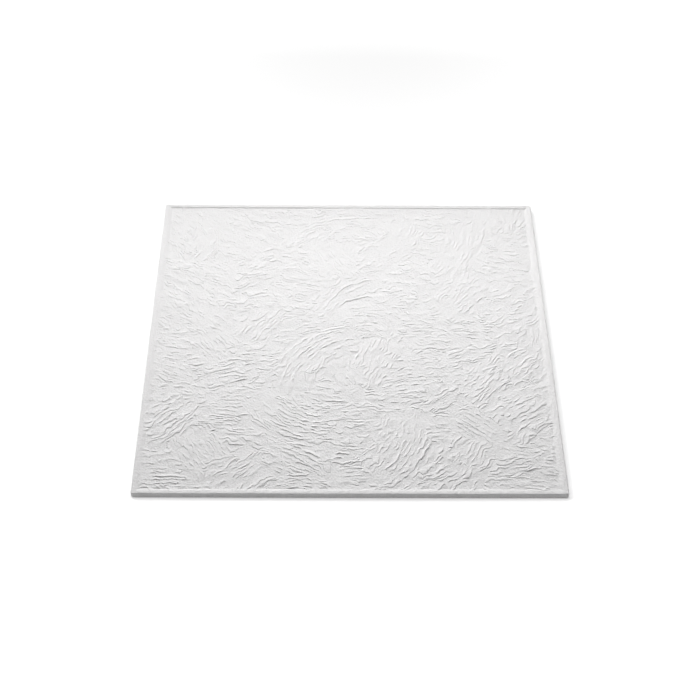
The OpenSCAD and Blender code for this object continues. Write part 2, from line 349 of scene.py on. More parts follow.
def beside(pull, s, d):
    """The point at distance s along the pull and d to its left."""
    a, b = math.radians(pull.aim), heading(pull, s)
    if pull.turn == 0:
        mid = (pull.x + s * math.cos(a), pull.y + s * math.sin(a))
    else:
        r = pull.length / math.radians(pull.turn)
        mid = (pull.x + r * (math.sin(b) - math.sin(a)), pull.y + r * (math.cos(a) - math.cos(b)))
    return (mid[0] - d * math.sin(b), mid[1] + d * math.cos(b))

def on_field(point):
    """Is the point on the field, or no further into the rim than ridges run?"""
    return max(abs(point[0]), abs(point[1])) < HALF - RIM_W + RUN_IN

print("the first pull ends at", [round(c, 1) for c in beside(PULLS[0], PULLS[0].length, 0)])

# %% Ridges of a pull
# A ridge is a row of bends, one every RIDGE_STEP mm or so. Between its ends a crest sinks to RIDGE_LOW of
# RIDGE_H at most and wanders RIDGE_WANDER to either side. Crests are heights above the field, and ridges
# start ROOT below it, so that their feet are hidden. RIDGE_THIN and RIDGE_SWELL give the half width, as
# shares of RIDGE_W. At each end a ridge may fall short by RIDGE_SHORT of the pull. It is tested every
# FIELD_TEST mm for being on the field.
RIDGE_H = 1.45
RIDGE_W = 4.0
RIDGE_THIN, RIDGE_SWELL = 0.35, 0.15
RIDGE_PITCH = 6
RIDGE_LOW = 0.45
RIDGE_WANDER = 0.8
RIDGE_STEP = 16
RIDGE_SHORT = 0.15
ROOT = 0.4
FIELD_TEST = 2

Bend = namedtuple("Bend", "x y crest half_width")

def ridge_line(i, j, d):
    """The bends of ridge j of pull i, or none where too little of it is on the field."""
    pull = PULLS[i]
    short = RIDGE_SHORT * pull.length
    start = short * uneven(i, j, 0, START)
    stop = pull.length - short * uneven(i, j, 0, STOP)
    # A millionth of a millimetre more, so that arange keeps the last step
    run = [s for s in np.arange(start, stop + 1e-6, FIELD_TEST) if on_field(beside(pull, s, d))]
    if len(run) < 2 or run[-1] - run[0] <= RIDGE_STEP / 2:
        return []
    long = run[-1] - run[0]
    bends = max(2, math.floor(long / RIDGE_STEP + 0.5))
    line = []
    for k in range(bends + 1):
        inner = 0 < k < bends
        rise = RIDGE_LOW + (1 - RIDGE_LOW) * uneven(i, j, k, RISE) if inner else 0
        aside = RIDGE_WANDER * sway(i, j, k, WANDER) if inner else 0
        crest = RIDGE_H * rise if inner else -ROOT
        place = beside(pull, run[0] + long * k / bends, d + aside)
        line.append(Bend(*place, crest, RIDGE_W * (RIDGE_THIN + RIDGE_SWELL * rise)))
    return line

RIDGES = []
for i, pull in enumerate(PULLS):
    pitches = math.floor(pull.band / RIDGE_PITCH + 0.5)
    for j in range(pitches + 1):
        RIDGES.append(ridge_line(i, j, (j / pitches - 0.5) * pull.band))
RIDGES = [line for line in RIDGES if line]
print(f"{len(RIDGES)} ridges combed into the bands")

# %% Single ridges
# They stay higher than the combed ridges, are a little wider, and run on past either end by a share of
# their last stretch.
STROKE_RISE = 0.75
STROKE_OVERRUN = 0.3
STROKE_THIN, STROKE_SWELL = 0.4, 0.2

def stroke_line(n):
    """Bends of a single ridge: whole where it was seen, and pointed a little past its ends."""
    seen = [np.array(point, float) for point in STROKES[n]]
    if len(seen) == 2:
        seen.insert(1, (seen[0] + seen[1]) / 2)
    first = seen[0] + (seen[0] - seen[1]) * STROKE_OVERRUN
    last = seen[-1] + (seen[-1] - seen[-2]) * STROKE_OVERRUN
    line = [Bend(*first, -ROOT, RIDGE_W * RIDGE_THIN)]
    for k, place in enumerate(seen[1:-1], 1):
        rise = STROKE_RISE + (1 - STROKE_RISE) * uneven(len(PULLS), n, k, RISE)
        line.append(Bend(*place, RIDGE_H * rise, RIDGE_W * (STROKE_THIN + STROKE_SWELL * rise)))
    return line + [Bend(*last, -ROOT, RIDGE_W * RIDGE_THIN)]

STROKE_LINES = [stroke_line(n) for n in range(len(STROKES))]
print(f"{len(RIDGES) + len(STROKE_LINES)} ridges in all")

# %% [markdown]
# ## Where the mesh has its lines
#
# The face starts as a flat grid. Most of its lines lie 0.75 mm apart over the field. A few lie where the
# shape turns: in the middle and at the top of the rim's inner wall, and over the rim to where the outer
# edge starts to round. Heights are then worked out for all points of the grid at once, as numbers in an
# array.

# %% Grid lines, in mm from the middle
# RIM_LEAN is how far the inner wall leans, so that the tile leaves its mould. The outer edge is round.
CELL = 0.75
RIM_LEAN = 0.6
RIM_LINES = 6
EDGE_R = 1.2

wall_foot = HALF - RIM_W - RIM_LEAN
wall_top = HALF - RIM_W
rim_out = HALF - EDGE_R
field_lines = np.linspace(-wall_foot, wall_foot, int(2 * wall_foot / CELL) + 1)
rim_lines = np.linspace(wall_top, rim_out, RIM_LINES)
wall_mid = np.array([(wall_foot + wall_top) / 2])
LINES = np.concatenate([-rim_lines[::-1], -wall_mid, field_lines, wall_mid, rim_lines])
COUNT = len(LINES)
X, Y = np.meshgrid(LINES, LINES)
print(f"{COUNT} grid lines each way, {COUNT * COUNT} points")

# %% [markdown]
# ## Grain
#
# Nothing on a brushed face is straight or even: ridges fray and fade, and the rim is a little worn. What
# makes them so is grain, which is smooth random bumps of a known size. Each layer of it is a coarse net of
# random heights, blended by smooth weights. A layer has its own seed, so it is the same each time.

# %% Smooth grain of a given size
GRAIN_GAIN = 2.2

def weights(size):
    """Cubic blending weights of every grid line on a net with knots size mm apart."""
    place = (LINES + HALF) / size
    base = np.floor(place).astype(int)
    f = place - base
    table = np.zeros((COUNT, int(SIDE / size) + 5))
    rows = np.arange(COUNT)
    table[rows, base] = (1 - f) ** 3 / 6
    table[rows, base + 1] = (3 * f**3 - 6 * f**2 + 4) / 6
    table[rows, base + 2] = (-3 * f**3 + 3 * f**2 + 3 * f + 1) / 6
    table[rows, base + 3] = f**3 / 6
    return table

def grain(size, seed):
    """Smooth bumps about 2 sizes across, mostly from -1 to 1."""
    table = weights(size)
    net = np.random.RandomState(seed).uniform(-1, 1, (table.shape[1], table.shape[1]))
    return GRAIN_GAIN * (table @ net @ table.T)

sample = grain(3, seed=1)
print(f"grain runs from {sample.min():.2f} to {sample.max():.2f}, spread {sample.std():.2f}")

# %% [markdown]
# ## Relief
#
# A ridge on the mould is a crooked crest with one gentle side and one steep side, as the brush left it. It
# could be built from faces of its own, but ridges cross and melt into one another, and heights on a grid
# do that by themselves. To fray a ridge, the points of the grid are first shifted about by grain, and
# the ridge is then measured from the shifted points: a straight bar becomes a crooked one. Where ridges
# meet, the higher one shows, as in plaster.
#
# Each pull also leaves a thin bed of plaster with fine ledges in it. They are a saw-tooth wave across the
# pull, a gentle rise and a steep drop every 5.6 mm or so. Noise that is drawn out along the pull bends
# them, and lets them be strong in one place and gone in the next. A pull wipes out the ledges of the pulls
# under it.

# %% Frayed places
FRAY, FRAY_SIZE = 1.0, 7
FRAY_FINE, FRAY_FINE_SIZE = 0.6, 2.4

shifted_x = X + FRAY * grain(FRAY_SIZE, seed=11) + FRAY_FINE * grain(FRAY_FINE_SIZE, seed=12)
shifted_y = Y + FRAY * grain(FRAY_SIZE, seed=13) + FRAY_FINE * grain(FRAY_FINE_SIZE, seed=14)
shift = np.hypot(shifted_x - X, shifted_y - Y)
print(f"points shifted by {shift.mean():.1f} mm on average, {shift.max():.1f} mm at most")

# %% How to lay a ridge on the field
# Ridges and ledges drop steeply towards the near right. STEEP and GENTLE make a ridge's two sides narrower
# and wider, and CREST_BLUNT takes the point off its crest. SPARE is room for the shifted points.
STEEP_WAY = (0.5, -0.86)
STEEP, GENTLE = 0.5, 2.3
CREST_BLUNT = 1.1
SPARE = 3

def window(points, reach):
    """Slices of the grid that hold the points, with reach mm to spare."""
    xs, ys = [p[0] for p in points], [p[1] for p in points]
    cols = slice(*np.searchsorted(LINES, [min(xs) - reach, max(xs) + reach]))
    rows = slice(*np.searchsorted(LINES, [min(ys) - reach, max(ys) + reach]))
    return rows, cols

def from_segment(at, a, b):
    """How far along the segment, from 0 to 1, and the way from it to the shifted points in mm."""
    dx, dy = b.x - a.x, b.y - a.y
    px, py = shifted_x[at] - a.x, shifted_y[at] - a.y
    t = np.clip((px * dx + py * dy) / (dx * dx + dy * dy), 0, 1)
    return t, px - t * dx, py - t * dy

def lay_ridge(relief, line, share):
    """Raises the relief to one ridge, of whose height each point keeps a share."""
    for a, b in zip(line, line[1:]):
        at = window((a, b), GENTLE * max(a.half_width, b.half_width) + SPARE)
        t, off_x, off_y = from_segment(at, a, b)
        crest = a.crest + t * (b.crest - a.crest)
        half_width = a.half_width + t * (b.half_width - a.half_width)
        steep_side = off_x * STEEP_WAY[0] + off_y * STEEP_WAY[1] > 0
        half_width = half_width * np.where(steep_side, STEEP, GENTLE)
        side = np.clip(CREST_BLUNT * (1 - np.hypot(off_x, off_y) / half_width), 0, 1)
        height = (crest + ROOT) * side * share[at]
        relief[at] = np.maximum(relief[at], height - ROOT)

widest = RIDGE_W * (RIDGE_THIN + RIDGE_SWELL)
print(f"a full ridge is {widest * STEEP:.1f} mm wide on its steep side, {widest * GENTLE:.1f} on the other")

# %% Lay the ridges
# The near side of the tile in the photograph is worked deeper than the far side, and no ridge is as high
# all along. So a ridge keeps a share of its height that sinks towards the far side and from patch to patch.
RIDGE_SHARE, RIDGE_FALL, RIDGE_LEAST = 0.85, 0.4, 0.6
STROKE_SHARE, STROKE_FALL, STROKE_LEAST = 1, 0.3, 0.75
PATCH_SIZE = 4.5
PATCH_SHARE, PATCH_SWING, PATCH_LEAST = 0.8, 0.5, 0.2
STROKE_EVEN, STROKE_PATCHY = 0.4, 0.6

patchy = np.clip(PATCH_SHARE + PATCH_SWING * grain(PATCH_SIZE, seed=15), PATCH_LEAST, 1)
ridge_depth = np.clip(RIDGE_SHARE - RIDGE_FALL * Y / HALF, RIDGE_LEAST, 1)
stroke_depth = np.clip(STROKE_SHARE - STROKE_FALL * Y / HALF, STROKE_LEAST, 1)
ridge_share = patchy * ridge_depth
stroke_share = (STROKE_EVEN + STROKE_PATCHY * patchy) * stroke_depth
ridges = np.full(X.shape, -ROOT)
for line in RIDGES:
    lay_ridge(ridges, line, ridge_share)
for line in STROKE_LINES:
    lay_ridge(ridges, line, stroke_share)
print(f"ridges up to {ridges.max():.2f} mm high, cover {np.mean(ridges > 0.1):.0%} of the grid")

# %% Keep calm plaster beside the single ridges, so that each one reads as one line
CALM = 6
CALM_LEAST = 0.1

calm = np.ones(X.shape)
for line in STROKE_LINES:
    for a, b in zip(line, line[1:]):
        at = window((a, b), CALM + SPARE)
        t, off_x, off_y = from_segment(at, a, b)
        calm[at] = np.minimum(calm[at], np.clip(np.hypot(off_x, off_y) / CALM, CALM_LEAST, 1))
print(f"calm plaster on {np.mean(calm < 0.9):.0%} of the grid")

# %% Where a point lies along and beside a pull
def along_and_beside(pull, x, y):
    """The distances s and d that beside() turns into the points x, y."""
    a = math.radians(pull.aim)
    if pull.turn == 0:
        x, y = x - pull.x, y - pull.y
        return x * math.cos(a) + y * math.sin(a), y * math.cos(a) - x * math.sin(a)
    t = math.radians(pull.turn)
    r = pull.length / t
    hand = math.copysign(1, r)
    x, y = x - pull.x + r * math.sin(a), y - pull.y - r * math.cos(a)
    b = np.arctan2(hand * x, -hand * y)
    past = (b - a - t / 2 + math.pi) % (2 * math.pi) - math.pi + t / 2
    return r * past, r - hand * np.hypot(x, y)

s, d = along_and_beside(PULLS[0], *beside(PULLS[0], 20, 5))
print(f"a point 20 mm along the first pull and 5 mm beside it reads as {s:.2f} and {d:.2f}")

# %% The pull that each place belongs to
# The last pull over a place owns it, and where no pull went, the nearest one within NEAREST does.
BED_H = 0.4
BED_LEAST, BED_MORE = 0.5, 0.5
BED_SIDE = 3
NEAREST = 60
BAND_STEPS = 6

owner = np.zeros(X.shape, int)
along, across = np.zeros(X.shape), np.zeros(X.shape)
distance = np.full(X.shape, float(NEAREST))
bed = np.zeros(X.shape)
for i, pull in enumerate(PULLS):
    half_band = pull.band / 2
    steps = [pull.length * k / BAND_STEPS for k in range(BAND_STEPS + 1)]
    at = window([beside(pull, s, d) for s in steps for d in (-half_band, half_band)], NEAREST)
    s, d = along_and_beside(pull, shifted_x[at], shifted_y[at])
    outside = np.maximum(abs(d) - half_band, np.maximum(-s, s - pull.length))
    within = np.clip(0.5 - outside / BED_SIDE, 0, 1)
    thick = BED_H * (BED_LEAST + BED_MORE * uneven(i, 0, 0, BED))
    bed[at] = np.maximum(bed[at], thick * within)
    outside = np.maximum(outside, 0)
    wins = outside <= distance[at]
    for whole, part in ((distance, outside), (along, s), (across, d), (owner, i)):
        whole[at] = np.where(wins, part, whole[at])
print(f"beds cover {np.mean(bed > 0.05):.0%} of the grid, {len(np.unique(owner))} pulls own a place")

# %% Values and noise that go with a pull
KNOTS = 512
# Each pull reads its own stretch of the noise
OWNER_ALONG, OWNER_ACROSS = 37, 61

def ease(t):
    """From 0 to 1 as t does, with a soft start and a soft stop."""
    return t * t * (3 - 2 * t)

def net_noise(u, v, seed):
    """Smooth random heights from -1 to 1, with a knot at each whole u and v."""
    net = np.random.RandomState(seed).uniform(-1, 1, (KNOTS, KNOTS))
    i, j = np.floor(u).astype(int), np.floor(v).astype(int)
    fu, fv = ease(u - i), ease(v - j)
    near = net[i % KNOTS, j % KNOTS] * (1 - fu) + net[(i + 1) % KNOTS, j % KNOTS] * fu
    far = net[i % KNOTS, (j + 1) % KNOTS] * (1 - fu) + net[(i + 1) % KNOTS, (j + 1) % KNOTS] * fu
    return near * (1 - fv) + far * fv

def pull_noise(long, wide, seed):
    """Noise that lies along the pulls, with bumps long and wide mm in size."""
    return net_noise(along / long + OWNER_ALONG * owner, across / wide + OWNER_ACROSS * owner, seed)

def of_owner(value):
    """For every place, a value of the pull that owns it."""
    return np.array([value(i, pull) for i, pull in enumerate(PULLS)])[owner]

print(f"the owners of places are {of_owner(lambda i, pull: pull.band).mean():.0f} mm wide on average")

# %% Ledges
# From pull to pull the gap is GAP_LEAST to GAP_LEAST + GAP_MORE times LEDGE_GAP, and the height goes the
# same way with FORCE. WAVE and RIPPLE say how far, in gaps, noise bends the ledges. Where STRONG and its
# swing come to nothing or less, a ledge is gone. LEDGE_DROP is how much of a gap the steep drop takes.
LEDGE_GAP, GAP_LEAST, GAP_MORE = 5.6, 0.8, 0.5
LEDGE_H, FORCE_LEAST, FORCE_MORE = 0.75, 0.8, 0.35
LEDGE_FALL = 0.15
LEDGE_DROP = 0.13
WAVE, WAVE_LONG, WAVE_WIDE = 0.95, 15, 9
RIPPLE, RIPPLE_LONG, RIPPLE_WIDE = 0.42, 6, 5
STRONG, STRONG_SWING, STRONG_LONG, STRONG_WIDE = 0.36, 1.8, 10, 5

gaps = of_owner(lambda i, pull: LEDGE_GAP * (GAP_LEAST + GAP_MORE * uneven(i, 0, 0, GAP)))
force = of_owner(lambda i, pull: FORCE_LEAST + FORCE_MORE * uneven(i, 0, 0, FORCE))
curve = of_owner(lambda i, pull: pull.turn / pull.length)
way = np.radians(of_owner(lambda i, pull: pull.aim) + curve * along)
# 1 where the left side of a pull looks the steep way, and -1 where its right side does
towards = np.sign(-np.sin(way) * STEEP_WAY[0] + np.cos(way) * STEEP_WAY[1])
phase = (towards * across / gaps + WAVE * pull_noise(WAVE_LONG, WAVE_WIDE, seed=31)
         + RIPPLE * pull_noise(RIPPLE_LONG, RIPPLE_WIDE, seed=32))
step = phase - np.floor(phase)
tooth = np.minimum(step / (1 - LEDGE_DROP), (1 - step) / LEDGE_DROP)
strength = np.clip(STRONG + STRONG_SWING * pull_noise(STRONG_LONG, STRONG_WIDE, seed=33), 0, 1)
ledges = LEDGE_H * tooth * strength * force * (1 - LEDGE_FALL * Y / HALF) * calm
print(f"ledges over 0.3 mm high on {np.mean(ledges > 0.3):.0%} of the grid, up to {ledges.max():.2f} mm")

# %% Join them, and let the relief run up the soft wall to a sandy rim
# The inner wall is crisp only on the far side, where the photograph shows a dark line along it. On the
# other sides the field runs up softly and OVER_RIM mm further. Nothing rises above the rim.
FIELD_DROP = 1.6
SOFT_FAR, SOFT_NEAR, SOFT_SIDES = 1.2, 3.0, 5.0
OVER_RIM = 1.5
RIM_WORN, WORN_SIZE = 0.22, 1.9
UNWORN_EDGE = 1.5

on_far_side, on_near_side = Y > abs(X), -Y > abs(X)
wall_soft = np.where(on_far_side, SOFT_FAR, np.where(on_near_side, SOFT_NEAR, SOFT_SIDES))
over_rim = np.where(on_far_side, 0, OVER_RIM)
reach = np.maximum(abs(X), abs(Y))
wall = ease(np.clip((reach - wall_foot + wall_soft) / (RIM_LEAN + wall_soft + over_rim), 0, 1))
worn = RIM_WORN * np.clip(0.5 + 0.5 * grain(WORN_SIZE, seed=23), 0, 1)
worn = worn * np.clip((rim_out - reach) / UNWORN_EDGE, 0, 1)
relief = np.maximum(ridges, bed + ledges)
face = relief * (1 - wall) + (FIELD_DROP - worn) * wall
Z = THICK - FIELD_DROP + np.minimum(face, FIELD_DROP)
print(f"face from {Z.min():.2f} to {Z.max():.2f} mm above the back")

# %% [markdown]
# ## The tile
#
# The piece could be a slab with a displaced sheet on it, but a mould makes one closed skin. So the grid
# is bent to its heights, its border is drawn outwards and down round the edge and then to the back, and
# the back is filled. A decimate modifier takes out the points that flat places don't need.

# %% Start from a flat grid
bpy.ops.object.select_all(action="DESELECT")
bpy.ops.mesh.primitive_grid_add(x_subdivisions=COUNT - 1, y_subdivisions=COUNT - 1, size=2 * rim_out * MM)
tile = bpy.context.object
tile.name = "polystyrene_tile"
mesh = tile.data
print(f"grid of {len(mesh.vertices)} points, {len(mesh.polygons)} faces")

# %% Move its points to the lines and heights, and round its corners
CORNER_R = 3.0

def into_corner(x, y, radius):
    """Bends the last square of a corner into a quarter of a disc."""
    start = HALF - CORNER_R
    u, v = (np.abs(x) - start) / radius, (np.abs(y) - start) / radius
    corner = (u > 0) & (v > 0)
    far = np.maximum(u, v)
    turn = np.where(u >= v, v / np.maximum(u, 1e-9), 2 - u / np.maximum(v, 1e-9)) * math.pi / 4
    new_x = np.where(corner, np.sign(x) * (start + radius * far * np.cos(turn)), x)
    new_y = np.where(corner, np.sign(y) * (start + radius * far * np.sin(turn)), y)
    return new_x, new_y

places = np.empty(len(mesh.vertices) * 3)
mesh.vertices.foreach_get("co", places)
places = places.reshape(-1, 3)
spread = (places[:, :2] / MM + rim_out) / (2 * rim_out) * (COUNT - 1)
col, row = np.rint(spread).astype(int).T
new_x, new_y = into_corner(LINES[col], LINES[row], CORNER_R - EDGE_R)
places = np.stack([new_x, new_y, Z[row, col]], axis=1) * MM
mesh.vertices.foreach_set("co", places.ravel())
mesh.update()
print(f"top skin {np.ptp(places[:, 0]) / MM:.1f} mm wide, with {np.ptp(places[:, 2]) / MM:.2f} mm of relief")

# %% Draw the border round the edge and down, then fill the back
EDGE_RINGS = 4

def outward(v):
    """The way out of the tile at a point of its border, seen from above."""
    x, y = v.co.x / MM, v.co.y / MM
    past_x, past_y = abs(x) - (HALF - CORNER_R), abs(y) - (HALF - CORNER_R)
    if past_x > 0 and past_y > 0:
        way_out = Vector((past_x, past_y)).normalized()
    else:
        way_out = Vector((1, 0)) if past_x > past_y else Vector((0, 1))
    return Vector((math.copysign(way_out.x, x), math.copysign(way_out.y, y), 0))

def draw_border(out, down):
    """Extrudes the chosen border edges and moves the new ones out and down, in mm."""
    bpy.ops.object.mode_set(mode="EDIT")
    bpy.ops.mesh.extrude_edges_move()
    bpy.ops.object.mode_set(mode="OBJECT")
    for v in mesh.vertices:
        if v.select:
            v.co += outward(v) * out * MM - Vector((0, 0, down * MM))

bpy.ops.object.mode_set(mode="EDIT")
bpy.ops.mesh.select_mode(type="EDGE")
bpy.ops.mesh.select_all(action="DESELECT")
bpy.ops.mesh.select_non_manifold()
for ring in range(EDGE_RINGS):
    a, b = (math.pi / 2 * (ring + k) / EDGE_RINGS for k in (0, 1))
    draw_border(EDGE_R * (math.sin(b) - math.sin(a)), EDGE_R * (math.cos(a) - math.cos(b)))
draw_border(0, THICK - EDGE_R)
bpy.ops.object.mode_set(mode="EDIT")
bpy.ops.mesh.edge_face_add()
bpy.ops.mesh.select_all(action="SELECT")
bpy.ops.mesh.normals_make_consistent(inside=False)
bpy.ops.object.mode_set(mode="OBJECT")
print(f"closed skin of {len(mesh.polygons)} faces")

# %% Take out the points that flat places don't need
# The thinned skin may bulge past the solid by a hair, so its points are then held inside the solid's box.
MOST_TRIANGLES = 196000

def triangle_count(skin):
    return sum(len(face.vertices) - 2 for face in skin.polygons)

full_count = triangle_count(mesh)
thin = tile.modifiers.new("thin", "DECIMATE")
thin.ratio = MOST_TRIANGLES / full_count
bpy.ops.object.modifier_apply(modifier=thin.name)
mesh = tile.data
places = np.empty(len(mesh.vertices) * 3)
mesh.vertices.foreach_get("co", places)
places = np.clip(places.reshape(-1, 3), [low.x, low.y, low.z], [high.x, high.y, high.z])
mesh.vertices.foreach_set("co", places.ravel())
mesh.update()
print(f"{full_count} triangles thinned to {triangle_count(mesh)}, in {len(mesh.polygons)} faces")

# %% Smooth shading with crisp edges, and a look for open edges
CRISP = 15

bpy.ops.object.shade_smooth_by_angle(angle=math.radians(CRISP))
uses = np.zeros(len(mesh.edges), int)
for loop in mesh.loops:
    uses[loop.edge_index] += 1
print(f"edges that don't join two faces: {int(np.sum(uses != 2))}")

# %% [markdown]
# ## Moulded expanded polystyrene
#
# Steam swells small beads until they fill the mould and fuse. The skin is white and matt, with a faint
# sheen where the mould pressed it smooth. Light goes a little way into the foam, which softens small
# shadows. The mould's plaster was sandy, and the foam copies its grit. Up close the beads show as cells
# about 3 mm wide with fine lines between them, most on the sides and the back, where there is no relief
# to hide them. Grit and seams are too shallow and too many for the mesh, so they are bump.

# %% Colours and nodes
def linear(hex_colour):
    """An sRGB colour such as "F0EFEC" as linear red, green, blue and alpha."""
    parts = [int(hex_colour[k:k + 2], 16) / 255 for k in (0, 2, 4)]
    return [p / 12.92 if p <= 0.04045 else ((p + 0.055) / 1.055) ** 2.4 for p in parts] + [1]

def add_node(tree, kind, settings=None, links=None):
    """Adds a node, sets its values and sockets, and links sockets of other nodes into it."""
    node = tree.nodes.new(kind)
    for name, value in (settings or {}).items():
        if isinstance(name, int) or name in node.inputs:
            node.inputs[name].default_value = value
        else:
            setattr(node, name, value)
    for name, source in (links or {}).items():
        tree.links.new(source, node.inputs[name])
    return node

def new_material(name):
    material = bpy.data.materials.new(name)
    material.use_nodes = True
    material.node_tree.nodes.clear()
    return material

FOAM_WHITE = linear("F3F2F2")
print("foam white in linear light:", [round(c, 3) for c in FOAM_WHITE[:3]])

# %% Foam
# Sizes in mm. The seams between beads fade over SEAM of a bead's size, and weigh SEAM_SHARE against the
# grain of the skin. Real sand is finer than GRIT, which is as coarse as it needs to be to show. Solid
# polystyrene has an IOR of 1.59, but a foam's dull skin reflects less, so SKIN_IOR is lower.
BEAD = 3.2
SEAM, SEAM_SHARE = 0.12, 0.25
SKIN_GRAIN, SKIN_H, SKIN_STRENGTH = 0.9, 0.15, 0.5
GRIT, GRIT_H = 2.6, 0.65
LIGHT_GOES_IN = 0.5
SKIN_ROUGH, SKIN_IOR = 0.6, 1.35

def moulded_polystyrene():
    material = new_material("expanded_polystyrene_moulded")
    tree = material.node_tree
    where = add_node(tree, "ShaderNodeTexCoord").outputs["Object"]
    beads = add_node(tree, "ShaderNodeTexVoronoi", {"Scale": 1 / (BEAD * MM), "feature": "DISTANCE_TO_EDGE"},
                     {"Vector": where})
    seams = add_node(tree, "ShaderNodeMapRange", {"From Min": 0.0, "From Max": SEAM},
                     {"Value": beads.outputs["Distance"]})
    skin_grain = add_node(tree, "ShaderNodeTexNoise", {"Scale": 1 / (SKIN_GRAIN * MM), "Detail": 3.0},
                          {"Vector": where})
    foam = add_node(tree, "ShaderNodeMath", {"operation": "MULTIPLY_ADD", 1: SEAM_SHARE},
                    {0: seams.outputs["Result"], 2: skin_grain.outputs["Fac"]})

    grit = add_node(tree, "ShaderNodeTexNoise", {"Scale": 1 / (GRIT * MM), "Detail": 1.0}, {"Vector": where})
    sanded = add_node(tree, "ShaderNodeBump", {"Strength": 1.0, "Distance": GRIT_H * MM},
                      {"Height": grit.outputs["Fac"]})
    bump = add_node(tree, "ShaderNodeBump", {"Strength": SKIN_STRENGTH, "Distance": SKIN_H * MM},
                    {"Height": foam.outputs["Value"], "Normal": sanded.outputs["Normal"]})
    skin = add_node(tree, "ShaderNodeBsdfPrincipled",
                    {"Base Color": FOAM_WHITE, "Roughness": SKIN_ROUGH, "IOR": SKIN_IOR,
                     "Subsurface Weight": 0.1, "Subsurface Radius": (1.0, 1.0, 1.0),
                     "Subsurface Scale": LIGHT_GOES_IN * MM},
                    {"Normal": bump.outputs["Normal"]})
    add_node(tree, "ShaderNodeOutputMaterial", None, {"Surface": skin.outputs["BSDF"]})
    return material

mesh.materials.clear()
mesh.materials.append(moulded_polystyrene())
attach(tile, "root")
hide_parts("tile")
print(f"{tile.name} carries {mesh.materials[0].name}")

# %% [markdown]
# ## Floor and light
#
# The photograph is a studio cut-out on white, with no edge to the floor. Its ridges show faintly at the
# far side and more and more towards the camera. So a softbox hangs just behind the tile and tilts towards
# the camera: it lights the far side almost from above and the near side at a slant. A lamp far off,
# behind and to the left, gives the soft shadow on the right. The sky is bright only low down, and lights
# the tile's edges from all round.
#
# The floor is pale and takes the tile's shadow. More light would make it white, but the tile too, so it
# has a glow that only the camera's rays see, straight or by way of a mirror or glass. The glow makes up
# for the light that falls off: it is low where the softbox shines brightest and grows with the distance
# from there. Along the tile's outline the glow is weaker on every side, a thin soft painted shadow. In
# front it grows again a few millimetres out, painted light that cuts the tile's shadow short, where the
# photograph's floor is white.

# %% Glow of the floor
# Places and distances in mm. Painted shadow: PAINTED_SHADOW is taken off the glow at the tile's outline, and
# less and less over PAINTED_SHADOW_REACH. Painted light: in front of the tile FRONT_LIGHT_EDGE is added, and
# more and more over FRONT_LIGHT_REACH, up to FRONT_LIGHT_FAR.
BRIGHTEST = (0, 100, 0)
GLOW_LOW, GLOW_HIGH = 0.2, 1.0
GLOW_FROM, GLOW_TO = 150, 850
PAINTED_SHADOW, PAINTED_SHADOW_REACH = 0.1, 4
FRONT_LIGHT_EDGE, FRONT_LIGHT_FAR = 0.03, 0.35
FRONT_LIGHT_REACH = 4.6

def camera_looks(tree):
    """Is 1 for rays from the camera, straight or by mirror or glass, and 0 for light on other things."""
    rays = add_node(tree, "ShaderNodeLightPath")
    mirrored = add_node(tree, "ShaderNodeMath", {"operation": "MAXIMUM"},
                        {0: rays.outputs["Is Glossy Ray"], 1: rays.outputs["Is Transmission Ray"]})
    straight = add_node(tree, "ShaderNodeMath", {"operation": "MAXIMUM"},
                        {0: rays.outputs["Is Camera Ray"], 1: mirrored.outputs["Value"]})
    return straight.outputs["Value"]

def glow_level(tree, where):
    """How strongly each place of the floor glows."""
    from_brightest = add_node(tree, "ShaderNodeVectorMath",
                              {"operation": "DISTANCE", 1: [c * MM for c in BRIGHTEST]}, {0: where})
    growing = add_node(tree, "ShaderNodeMapRange",
                       {"From Min": GLOW_FROM * MM, "From Max": GLOW_TO * MM, "To Min": GLOW_LOW,
                        "To Max": GLOW_HIGH}, {"Value": from_brightest.outputs["Value"]})

    quarter = add_node(tree, "ShaderNodeVectorMath", {"operation": "ABSOLUTE"}, {0: where})
    past = add_node(tree, "ShaderNodeVectorMath", {"operation": "SUBTRACT", 1: (HALF * MM, HALF * MM, 0)},
                    {0: quarter.outputs["Vector"]})
    outside = add_node(tree, "ShaderNodeVectorMath", {"operation": "MAXIMUM", 1: (0, 0, 0)},
                       {0: past.outputs["Vector"]})
    away = add_node(tree, "ShaderNodeVectorMath", {"operation": "LENGTH"}, {0: outside.outputs["Vector"]})
    # Painted shadow: the glow is weaker close to the tile's outline, on every side, so the floor is darker
    # there.
    painted_shadow = add_node(tree, "ShaderNodeMapRange",
                   {"From Min": 0.0, "From Max": PAINTED_SHADOW_REACH * MM, "To Min": -PAINTED_SHADOW, "To Max": 0.0},
                   {"Value": away.outputs["Value"]})
    with_painted_shadow = add_node(tree, "ShaderNodeMath", {"operation": "ADD"},
                      {0: growing.outputs["Result"], 1: painted_shadow.outputs["Result"]})

    place = add_node(tree, "ShaderNodeSeparateXYZ", None, {0: where})
    # Painted light: in front of the tile the glow grows again over a few millimetres and stays up, so the
    # tile's shadow there ends short.
    in_front = add_node(tree, "ShaderNodeMath", {"operation": "LESS_THAN", 1: -HALF * MM},
                        {0: place.outputs["Y"]})
    front_painted_light = add_node(tree, "ShaderNodeMapRange",
                    {"From Min": -HALF * MM, "From Max": -(HALF + FRONT_LIGHT_REACH) * MM,
                     "To Min": FRONT_LIGHT_EDGE, "To Max": FRONT_LIGHT_FAR}, {"Value": place.outputs["Y"]})
    with_front_painted_light = add_node(tree, "ShaderNodeMath", {"operation": "MULTIPLY_ADD"},
                      {0: in_front.outputs["Value"], 1: front_painted_light.outputs["Result"], 2: with_painted_shadow.outputs["Value"]})
    return with_front_painted_light.outputs["Value"]

print(f"the floor glows by {GLOW_LOW} to {GLOW_HIGH}, and by {FRONT_LIGHT_FAR} more in front of the tile")

# %% Floor
FLOOR_SIDE = 12

